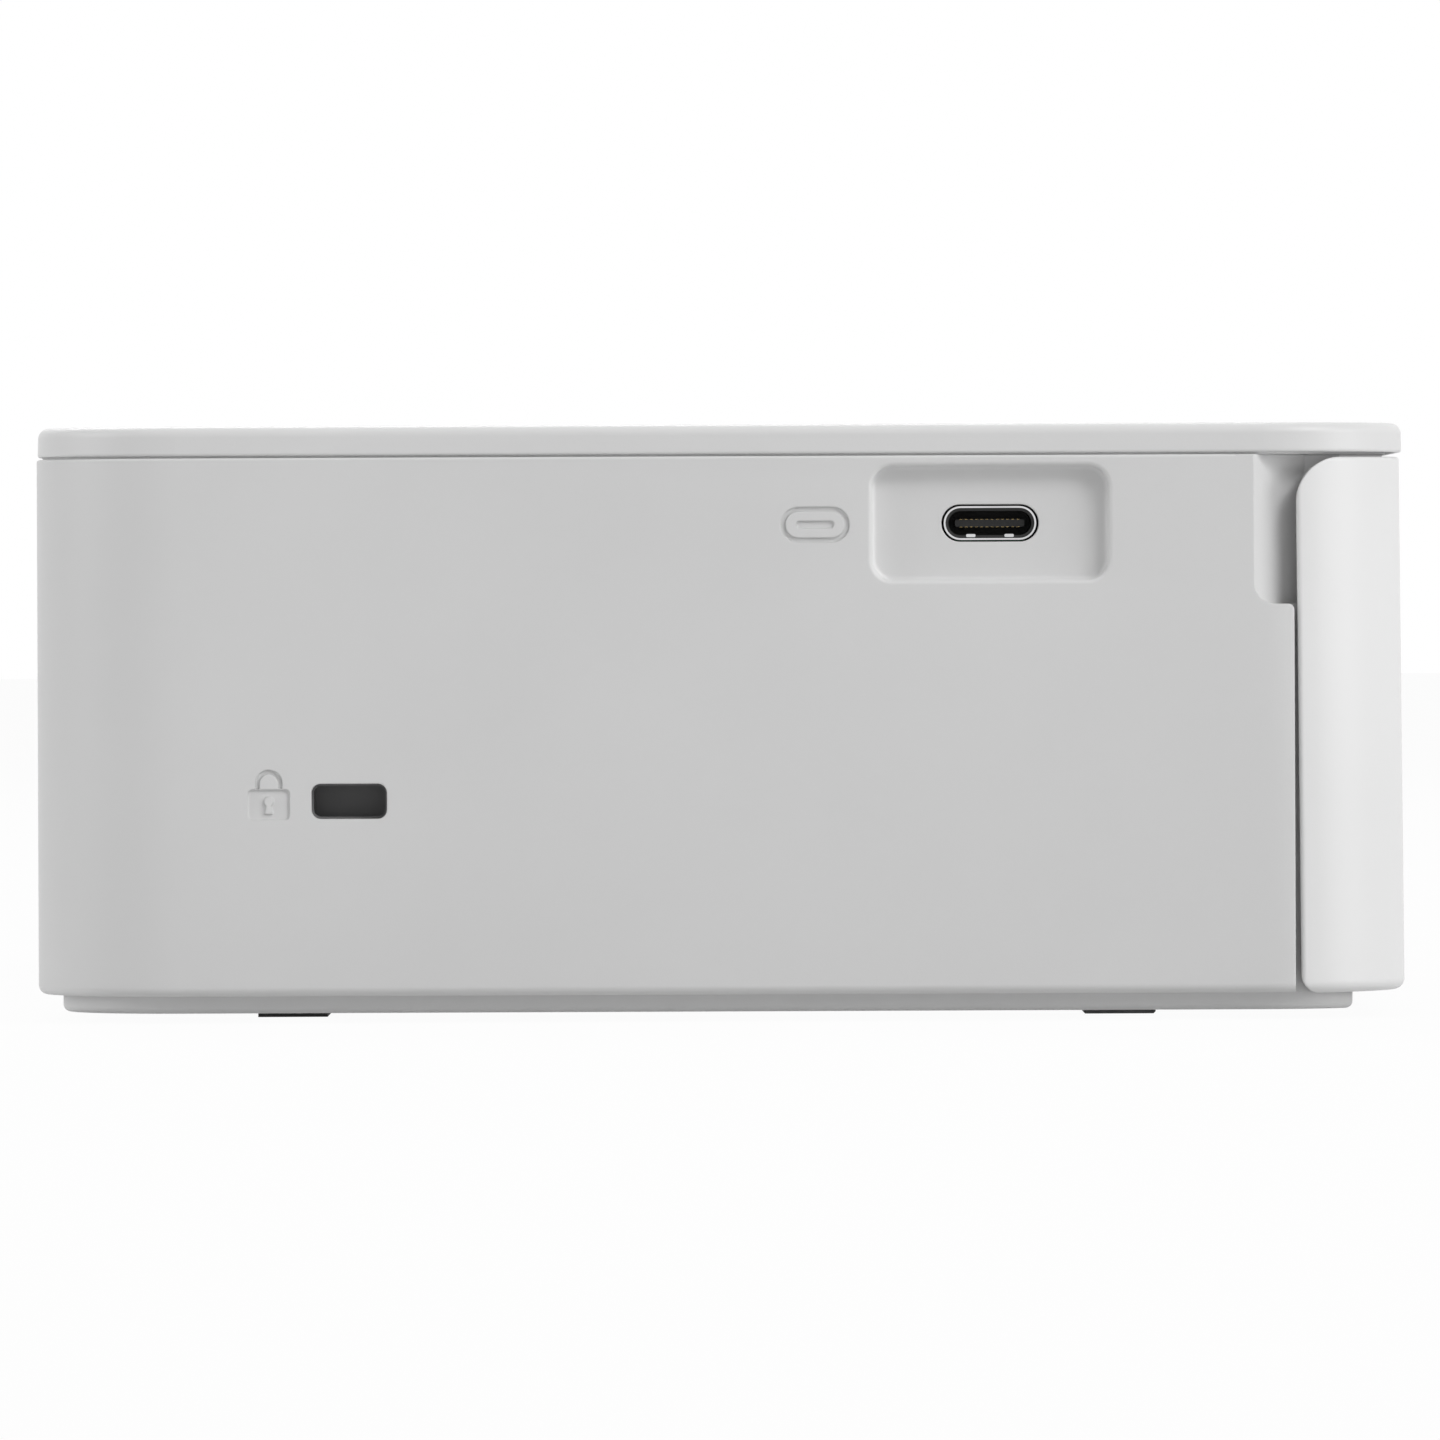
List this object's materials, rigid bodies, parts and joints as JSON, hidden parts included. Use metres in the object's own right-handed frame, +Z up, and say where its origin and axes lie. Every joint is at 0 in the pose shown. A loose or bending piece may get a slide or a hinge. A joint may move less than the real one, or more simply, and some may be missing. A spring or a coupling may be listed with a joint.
{
  "type": "compact photo printer",
  "caption": "Compact desktop photo printer: a low rounded box with a drop-down front door, a side ink door, a tilting screen, buttons and a geared print engine.",
  "frame": {"origin": "on the table under the middle of the housing", "axes": "+X across the width to the right side, -Y out of the front, +Z up"},
  "size_m": [0.1822, 0.133, 0.0576],
  "materials": {
    "white_case": "fine satin moulded plastic",
    "white_cover": "satin moulded plastic",
    "white_door": "smooth satin moulded plastic",
    "base_grey": "matt moulded plastic",
    "foot_rubber": "matt rubber",
    "foot_pad": "smooth rubber",
    "button_grey": "satin plastic",
    "screen_black": "gloss plastic",
    "screen_glass": "smooth dark window",
    "steel": "zinc plated sheet steel",
    "shaft_steel": "ground steel",
    "screw_steel": "plated steel",
    "port_shell": "bright plated shell",
    "dark_bracket": "blackened steel",
    "gear_plastic": "acetal",
    "black_plastic": "matt plastic",
    "roller_rubber": "ground rubber",
    "bush_plastic": "filled plastic",
    "heatsink": "extruded",
    "ceramic": "glazed ceramic bar",
    "board_green": "glass fibre board",
    "component_black": "moulded packages",
    "cassette_grey": "moulded plastic",
    "ribbon": "thin dyed film",
    "roll": "wound dyed film",
    "lever_grey": "moulded plastic"
  },
  "bodies": {
    "housing": {"main_case": "white_case", "base_plate": "base_grey", "base_screws": "screw_steel", "rear_feet": "foot_rubber", "front_feet": "foot_pad", "top_cover": "white_cover", "button_board": "board_green", "button_switches": "component_black", "left_side_plate": "steel", "right_side_plate": "steel", "roller_bushes": "bush_plastic", "paper_guide": "steel", "cassette_guide": "black_plastic", "drive_motor": "steel", "motor_bracket": "steel", "idler_stud": "shaft_steel", "head_pivot_shaft": "shaft_steel", "main_board": "board_green", "board_components": "component_black", "usb_c_port": "port_shell", "card_slot": "port_shell", "power_board": "board_green", "dc_jack": "black_plastic", "lock_bracket": "dark_bracket", "fan_frame": "black_plastic", "door_hinge_pins": "shaft_steel"},
    "door": {"front_door": "white_door"},
    "side_hatch": {"ink_door": "white_case"},
    "screen": {"screen_frame": "screen_black", "screen_glass": "screen_glass", "screen_hinge_pins": "shaft_steel"},
    "drive_pinion": {"motor_pinion": "gear_plastic"},
    "idler": {"idler_gear": "gear_plastic"},
    "feed": {"feed_roller": "shaft_steel", "feed_gear": "gear_plastic"},
    "pinch": {"pinch_roller": "shaft_steel"},
    "platen": {"platen_roller": "roller_rubber", "platen_shaft": "shaft_steel"},
    "takeup_drive": {"takeup_gear": "gear_plastic"},
    "pickup": {"pickup_shaft": "shaft_steel", "pickup_tyres": "roller_rubber", "pickup_gear": "gear_plastic"},
    "print_head": {"head_arm": "steel", "head_heatsink": "heatsink", "head_bar": "ceramic"},
    "cassette": {"ink_cassette": "cassette_grey", "ink_ribbon": "ribbon"},
    "supply": {"supply_spool": "roll"},
    "takeup": {"takeup_spool": "roll"},
    "lever": {"eject_lever": "lever_grey"},
    "fan": {"fan_rotor": "black_plastic"},
    "ok_key": {"ok_button": "button_grey"},
    "up_key": {"up_button": "button_grey"},
    "down_key": {"down_button": "button_grey"},
    "left_key": {"left_button": "button_grey"},
    "right_key": {"right_button": "button_grey"},
    "back_key": {"back_button": "button_grey"},
    "menu_key": {"menu_button": "button_grey"},
    "print_key": {"print_button": "button_grey"},
    "power_key": {"power_button": "button_grey"}
  },
  "joints": [
    {"name": "front_door_hinge", "type": "hinge", "parent": "housing", "child": "door", "pos_m": [0, -0.064, 0.0048], "axis": [1, 0, 0], "range_deg": [0, 90]},
    {"name": "ink_door_hinge", "type": "hinge", "parent": "housing", "child": "side_hatch", "pos_m": [0.0899, 0.016, 0.0132], "axis": [0, 1, 0], "range_deg": [0, 90]},
    {"name": "screen_tilt", "type": "hinge", "parent": "housing", "child": "screen", "pos_m": [0, -0.03715, 0.05465], "axis": [1, 0, 0], "range_deg": [0, 45]},
    {"name": "head_lift", "type": "hinge", "parent": "housing", "child": "print_head", "pos_m": [0, 0.05, 0.0445], "axis": [-1, 0, 0], "range_deg": [0, 3.5]},
    {"name": "cassette_slide", "type": "slide", "parent": "housing", "child": "cassette", "axis": [1, 0, 0], "range_m": [0, 0.004]},
    {"name": "eject_lever_swing", "type": "hinge", "parent": "housing", "child": "lever", "pos_m": [0.078, 0.024, 0.015], "axis": [0, 0, -1], "range_deg": [0, 20], "stiffness_Nm_per_rad": 0.01},
    {"name": "feed_roller_spin", "type": "hinge", "parent": "housing", "child": "feed", "pos_m": [0, 0.049, 0.0195], "axis": [1, 0, 0], "continuous": true},
    {"name": "idler_spin", "type": "hinge", "parent": "housing", "child": "idler", "pos_m": [0, 0.02228, 0.02457], "axis": [1, 0, 0], "continuous": true},
    {"name": "motor_spin", "type": "hinge", "parent": "housing", "child": "drive_pinion", "pos_m": [0, 0.00273, 0.01746], "axis": [1, 0, 0], "continuous": true},
    {"name": "takeup_gear_spin", "type": "hinge", "parent": "housing", "child": "takeup_drive", "pos_m": [0, 0, 0.0335], "axis": [1, 0, 0], "continuous": true},
    {"name": "takeup_spool_spin", "type": "hinge", "parent": "cassette", "child": "takeup", "pos_m": [0, 0, 0.0335], "axis": [1, 0, 0], "continuous": true},
    {"name": "supply_spool_spin", "type": "hinge", "parent": "cassette", "child": "supply", "pos_m": [0, 0.038, 0.0335], "axis": [1, 0, 0], "continuous": true},
    {"name": "pickup_roller_spin", "type": "hinge", "parent": "housing", "child": "pickup", "pos_m": [0, -0.018, 0.04018], "axis": [1, 0, 0], "continuous": true},
    {"name": "pinch_roller_spin", "type": "hinge", "parent": "housing", "child": "pinch", "pos_m": [0, 0.049, 0.0247], "axis": [1, 0, 0], "continuous": true},
    {"name": "platen_roller_spin", "type": "hinge", "parent": "housing", "child": "platen", "pos_m": [0, 0.018, 0.017], "axis": [1, 0, 0], "continuous": true},
    {"name": "fan_spin", "type": "hinge", "parent": "housing", "child": "fan", "pos_m": [0.052, 0.0605, 0.04], "axis": [0, 1, 0], "continuous": true},
    {"name": "ok_press", "type": "slide", "parent": "housing", "child": "ok_key", "axis": [0, 0, -1], "range_m": [0, 0.0006], "stiffness_N_per_m": 800, "springref_m": -0.0004},
    {"name": "up_press", "type": "slide", "parent": "housing", "child": "up_key", "axis": [0, 0, -1], "range_m": [0, 0.0006], "stiffness_N_per_m": 800, "springref_m": -0.0004},
    {"name": "down_press", "type": "slide", "parent": "housing", "child": "down_key", "axis": [0, 0, -1], "range_m": [0, 0.0006], "stiffness_N_per_m": 800, "springref_m": -0.0004},
    {"name": "left_press", "type": "slide", "parent": "housing", "child": "left_key", "axis": [0, 0, -1], "range_m": [0, 0.0006], "stiffness_N_per_m": 800, "springref_m": -0.0004},
    {"name": "right_press", "type": "slide", "parent": "housing", "child": "right_key", "axis": [0, 0, -1], "range_m": [0, 0.0006], "stiffness_N_per_m": 800, "springref_m": -0.0004},
    {"name": "back_press", "type": "slide", "parent": "housing", "child": "back_key", "axis": [0, 0, -1], "range_m": [0, 0.0006], "stiffness_N_per_m": 800, "springref_m": -0.0004},
    {"name": "menu_press", "type": "slide", "parent": "housing", "child": "menu_key", "axis": [0, 0, -1], "range_m": [0, 0.0006], "stiffness_N_per_m": 800, "springref_m": -0.0004},
    {"name": "print_press", "type": "slide", "parent": "housing", "child": "print_key", "axis": [0, 0, -1], "range_m": [0, 0.0006], "stiffness_N_per_m": 800, "springref_m": -0.0004},
    {"name": "power_press", "type": "slide", "parent": "housing", "child": "power_key", "axis": [0, 0, -1], "range_m": [0, 0.0006], "stiffness_N_per_m": 800, "springref_m": -0.0004}
  ],
  "couplings": [
    {"joint": "idler_spin", "follows": "feed_roller_spin", "ratio": -0.7},
    {"joint": "motor_spin", "follows": "feed_roller_spin", "ratio": 2.3333},
    {"joint": "takeup_gear_spin", "follows": "feed_roller_spin", "ratio": 1.4},
    {"joint": "takeup_spool_spin", "follows": "feed_roller_spin", "ratio": 1.4},
    {"joint": "supply_spool_spin", "follows": "feed_roller_spin", "ratio": 1.05},
    {"joint": "pickup_roller_spin", "follows": "feed_roller_spin", "ratio": -1},
    {"joint": "pinch_roller_spin", "follows": "feed_roller_spin", "ratio": -1.5}
  ]
}
